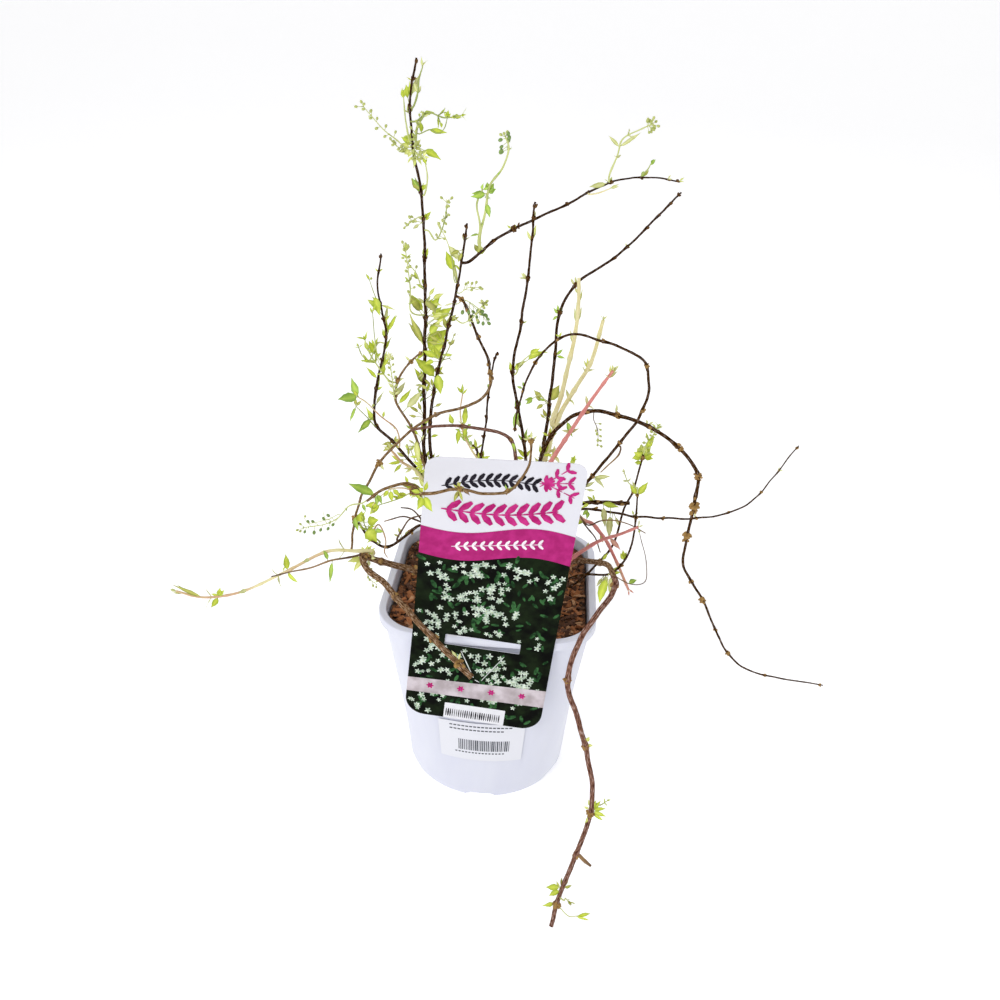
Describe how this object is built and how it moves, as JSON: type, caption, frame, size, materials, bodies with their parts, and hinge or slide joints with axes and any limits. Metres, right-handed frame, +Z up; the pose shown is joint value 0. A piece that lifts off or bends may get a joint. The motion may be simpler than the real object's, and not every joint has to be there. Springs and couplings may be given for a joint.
{
  "type": "potted deutzia shrub",
  "caption": "Young wiry deciduous shrub with budding shoots and sparse small leaves, in a square-rimmed nursery pot with a hang card hooked over the rim.",
  "frame": {"origin": "centre of the pot's flat underside", "axes": "+Z up through the pot, -Y towards the side the hang card is on, +X to the right seen from that side"},
  "size_m": [0.4445, 0.3577, 0.4761],
  "materials": {
    "pot_plastic": "satin moulded",
    "potting_mix": "loose bark and coir",
    "bark": "rough bark",
    "leaf": "soft leaf",
    "young_shoot": "soft green stem",
    "card": "printed sheet",
    "sticker": "coated paper"
  },
  "bodies": {
    "root": {"bowed_cane": "bark", "bowed_spray": "leaf", "branch_spray": "leaf", "card_twig_cross": "bark", "card_twig_rise": "bark", "centre_upright": "bark", "crooked_twig": "bark", "crown_spray_left": "leaf", "crown_spray_right": "leaf", "cut_cane_reach": "bark", "cut_cane_rise": "bark", "drooping_cane_arch": "bark", "drooping_cane_fall": "bark", "far_right_cane": "bark", "front_hanger_fall": "bark", "front_hanger_rise": "bark", "hang_card": "card", "hanger_spray": "leaf", "hanger_tip_spray": "leaf", "hanging_buds": "leaf", "heart_spray": "leaf", "leaning_cane": "bark", "left_arc": "bark", "left_bud_stalk": "leaf", "left_hoop_fall": "bark", "left_hoop_top": "bark", "left_leaf_mass": "leaf", "left_loop": "bark", "left_upright": "bark", "left_upright_spray": "leaf", "long_right_branch": "bark", "low_right_cane": "bark", "middle_spray": "leaf", "pale_shoot_left": "young_shoot", "pale_shoot_tall": "young_shoot", "pink_shoot_side": "young_shoot", "pot": "pot_plastic", "pot_sticker": "sticker", "potting_mix": "potting_mix", "rear_droop_cane": "bark", "rear_left_cane": "bark", "rear_left_spray": "leaf", "rear_low_cane": "bark", "rear_low_spray": "leaf", "rear_right_cane": "bark", "rear_right_spray": "leaf", "reddish_arch": "bark", "right_arch": "bark", "right_leaf_mass": "leaf", "right_loop_fall": "bark", "right_loop_rise": "bark", "stalk_spray": "leaf", "stub_cane": "bark", "sucker_cane": "bark", "tall_cane": "bark", "upper_spray": "leaf", "woody_crown": "bark", "yellow_cluster": "leaf"}
  },
  "joints": []
}
